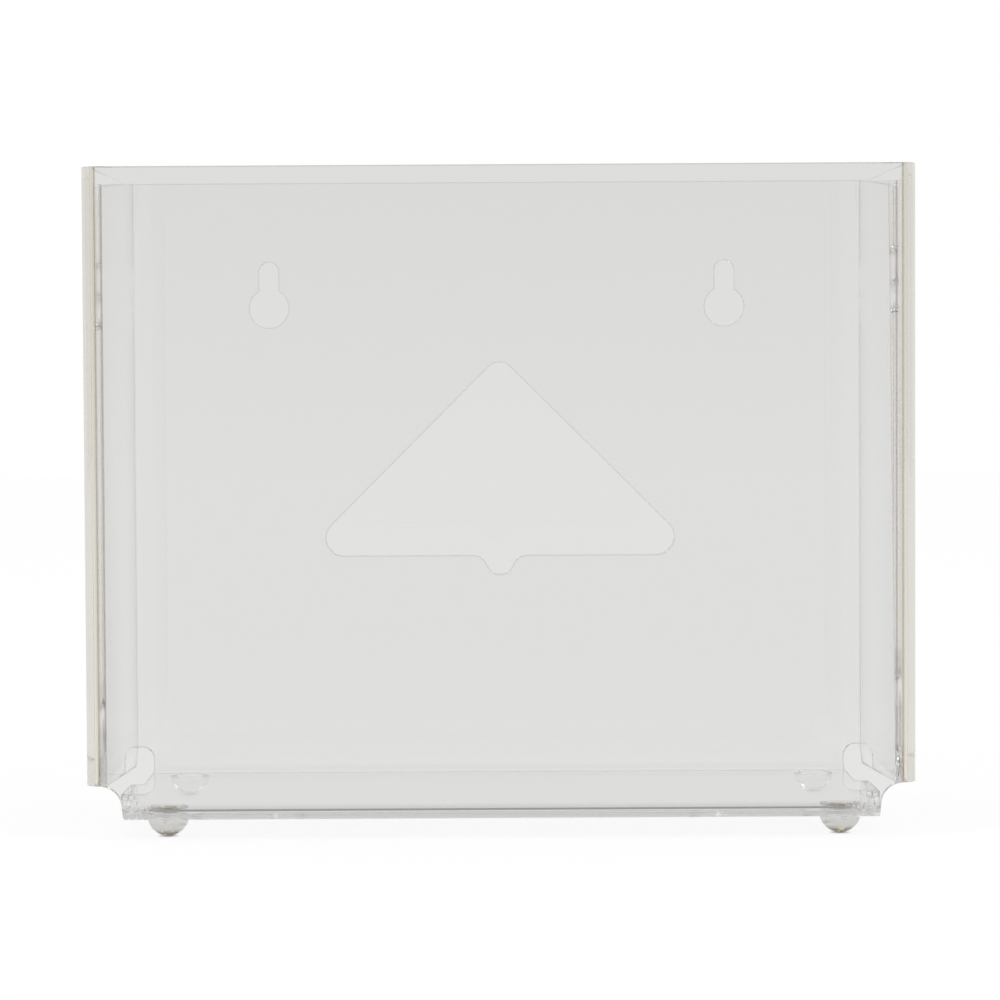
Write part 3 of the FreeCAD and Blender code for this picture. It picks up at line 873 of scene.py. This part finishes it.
class DISPENSER_OT_dome_feet(bpy.types.Operator):
    """Set the clear dome feet under the sheet"""

    bl_idname = "dispenser.dome_feet"
    bl_label = "Dome feet"

    def execute(self, context):
        scene = context.scene
        size = scene.foot_size
        tops = [(*foot_place(node), FOOT_HIGH[2] + size.film) for node in FOOT_NODES]
        points = bpy.data.meshes.new("foot_points")
        points.from_pydata(tops, [], [])
        piece = new_mesh_object("dome_feet", points)
        dome = make_dome(size)
        add_tree_modifier(piece, make_feet_tree(), {
            "Dome": dome,
            "Plastic": make_foot_plastic(scene.finish),
            "Glue": make_foot_glue(scene.finish),
        })
        make_plain(piece)
        bpy.data.objects.remove(dome)
        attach(piece, "root")
        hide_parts(*FOOT_NODES)
        return {"FINISHED"}


def ray_kinds(tree):
    """Whether a ray is the camera's, comes through something clear, or off something shiny."""
    path = tree.add("ShaderNodeLightPath")
    names = ("Is Camera Ray", "Is Transmission Ray", "Is Glossy Ray")
    camera, through, glossy = [Value(tree, path.outputs[name]) for name in names]
    # A ray through clear plastic counts as glossy too
    return camera, through, glossy * (1 - through)


def make_floor_paint(look):
    """Pale paint: white to the camera, a little darker through the plastic, with the shadow."""
    material, tree, place = start_material("pale_floor")
    camera, through, glossy = ray_kinds(tree)
    x, y = tree.parts(place)[:2]
    # Through the plastic it fades into the surroundings far off, and mirrored into the wall
    far = y.ramp(0.05, 0.4)
    seen = look.floor_seen - far * (look.floor_seen - look.seen_through)
    mirrored = glossy * y.fade(-0.75, -0.1) * (look.floor_seen - look.wall_behind)
    strength = seen + camera * (1 - seen) - mirrored
    # Hardly any light gets to the floor where the feet touch it
    feet = [foot_place(node) for node in FOOT_NODES]
    middle = sum(foot[0] for foot in feet) / len(feet)
    from_feet_x = abs(abs(x - middle) - (feet[-1][0] - middle))
    from_feet_y = abs(abs(y) - feet[-1][1])
    away = (from_feet_x * from_feet_x + from_feet_y * from_feet_y).math("SQRT")
    lit = away.ramp(0.0, look.contact)
    # The front bend turns the light away from the floor under it
    under_bend = abs(y + look.bend_line).ramp(*SHADE_DEPTH).math("MAXIMUM", abs(x).ramp(*SHADE_REACH))
    shaded = 1 - through * (1 - under_bend) * look.bend_shade
    glow = tree.add("ShaderNodeEmission", inputs={"Strength": strength * lit * shaded})
    paint = tree.add("ShaderNodeBsdfDiffuse", inputs={"Color": FLOOR_PAINT})
    mixed = tree.add("ShaderNodeMixShader", inputs={
        0: 1 - camera * (1 - look.backdrop_share), 1: paint.outputs[0], 2: glow.outputs[0]})
    tree.add("ShaderNodeOutputMaterial", inputs={"Surface": mixed.outputs[0]})
    return material


def make_floor(look):
    """Square floor just under the feet."""
    mesh = bpy.data.meshes.new("floor")
    sides = ((-1, -1), (1, -1), (1, 1), (-1, 1))
    corners = [(x * FLOOR_HALF, y * FLOOR_HALF, FLOOR_LEVEL) for x, y in sides]
    mesh.from_pydata(corners, [], [(0, 1, 2, 3)])
    mesh.materials.append(make_floor_paint(look))
    new_mesh_object("floor", mesh)


def make_surroundings(scene, look):
    """White to the camera, softer through the plastic, and pale behind the camera in reflections."""
    world = bpy.data.worlds.new("studio")
    scene.world = world
    tree = shader_tree(world)
    camera, through, glossy = ray_kinds(tree)
    x, y, z = tree.parts(tree.add("ShaderNodeTexCoord").outputs["Generated"])
    behind = y.ramp(-0.1, 0.25)
    high_sky = z.ramp(0.14, 0.3)
    upper = z.ramp(-0.03, 0.06) * (1 - high_sky)
    seen = look.seen_through * (1 - high_sky * (1 - behind) * 0.55 - upper * 0.04)
    # The panels mirror only the pale wall straight behind the camera
    off_middle = (x * x + z * z).math("SQRT")
    wall = off_middle.fade(0.25, 0.4) * (1 - behind)
    shiny = look.seen_through * behind + look.wall_behind * wall
    others = through * seen + glossy * shiny + (1 - through - glossy)
    strength = camera + (1 - camera) * others
    background = tree.add("ShaderNodeBackground", inputs={"Color": (1, 1, 1, 1), "Strength": strength})
    tree.add("ShaderNodeOutputWorld", inputs={"Surface": background.outputs[0]})


def add_lamp(scene, look, name, place):
    """Square soft lamp that points at the middle of the box."""
    light = bpy.data.lights.new(name, "AREA")
    light.size = look.lamp_size
    light.energy = look.lamp_power
    lamp = bpy.data.objects.new(name, light)
    lamp.location = place
    beam = Vector(LAMP_TARGET) - Vector(place)
    lamp.rotation_euler = beam.to_track_quat("-Z", "Y").to_euler()
    scene.collection.objects.link(lamp)


def make_camera(scene, look):
    """Camera that sees the object as the photograph does."""
    lens = bpy.data.cameras.new("camera")
    lens.lens = look.lens
    lens.sensor_width = 36
    lens.shift_x = look.shift_x
    lens.shift_y = look.shift_y
    lens.clip_start = 0.01
    camera = bpy.data.objects.new("camera", lens)
    camera.location = (look.camera_x, look.camera_y, look.camera_z)
    camera.rotation_euler = (math.pi / 2 + look.camera_pitch, look.camera_roll, 0)
    scene.collection.objects.link(camera)
    scene.camera = camera


class DISPENSER_OT_stage(bpy.types.Operator):
    """Set up the floor, the surroundings, the lamps and the camera"""

    bl_idname = "dispenser.stage"
    bl_label = "Stage"

    def execute(self, context):
        scene = context.scene
        look = scene.stage_look
        scene.view_settings.view_transform = "Standard"
        scene.cycles.max_bounces = LIGHT_BOUNCES
        scene.cycles.transmission_bounces = LIGHT_BOUNCES
        scene.cycles.glossy_bounces = LIGHT_BOUNCES
        make_floor(look)
        make_surroundings(scene, look)
        for name, place in LAMP_PLACES.items():
            add_lamp(scene, look, name, place)
        make_camera(scene, look)
        return {"FINISHED"}


class DISPENSER_PT_sidebar(bpy.types.Panel):
    """Sizes, finishes and steps of the dispenser"""

    bl_idname = "DISPENSER_PT_sidebar"
    bl_label = "Wipe dispenser"
    bl_space_type = "VIEW_3D"
    bl_region_type = "UI"
    bl_category = "Dispenser"

    def draw(self, context):
        scene = context.scene
        for operator in OPERATORS:
            self.layout.operator(operator.bl_idname)
        for name in GROUPS:
            box = self.layout.box()
            box.label(text=name.replace("_", " ").capitalize())
            group = getattr(scene, name)
            for label in group.__annotations__:
                box.prop(group, label)


GROUPS = {
    "sheet_size": SheetSize,
    "sheet_cuts": SheetCuts,
    "foot_size": FootSize,
    "finish": Finish,
    "stage_look": StageLook,
}
OPERATORS = (DISPENSER_OT_folded_sheet, DISPENSER_OT_dome_feet, DISPENSER_OT_stage)
CLASSES = (*GROUPS.values(), *OPERATORS, DISPENSER_PT_sidebar)


def register():
    """Register the classes and give the scene their settings."""
    for item in CLASSES:
        bpy.utils.register_class(item)
    for name, group in GROUPS.items():
        setattr(bpy.types.Scene, name, bpy.props.PointerProperty(type=group))


def unregister():
    """Take the settings and the classes away."""
    for name in GROUPS:
        delattr(bpy.types.Scene, name)
    for item in reversed(CLASSES):
        bpy.utils.unregister_class(item)


def main():
    """Build every piece in order."""
    register()
    bpy.ops.dispenser.folded_sheet()
    bpy.ops.dispenser.dome_feet()
    bpy.ops.dispenser.stage()


if __name__ == "__main__":
    main()
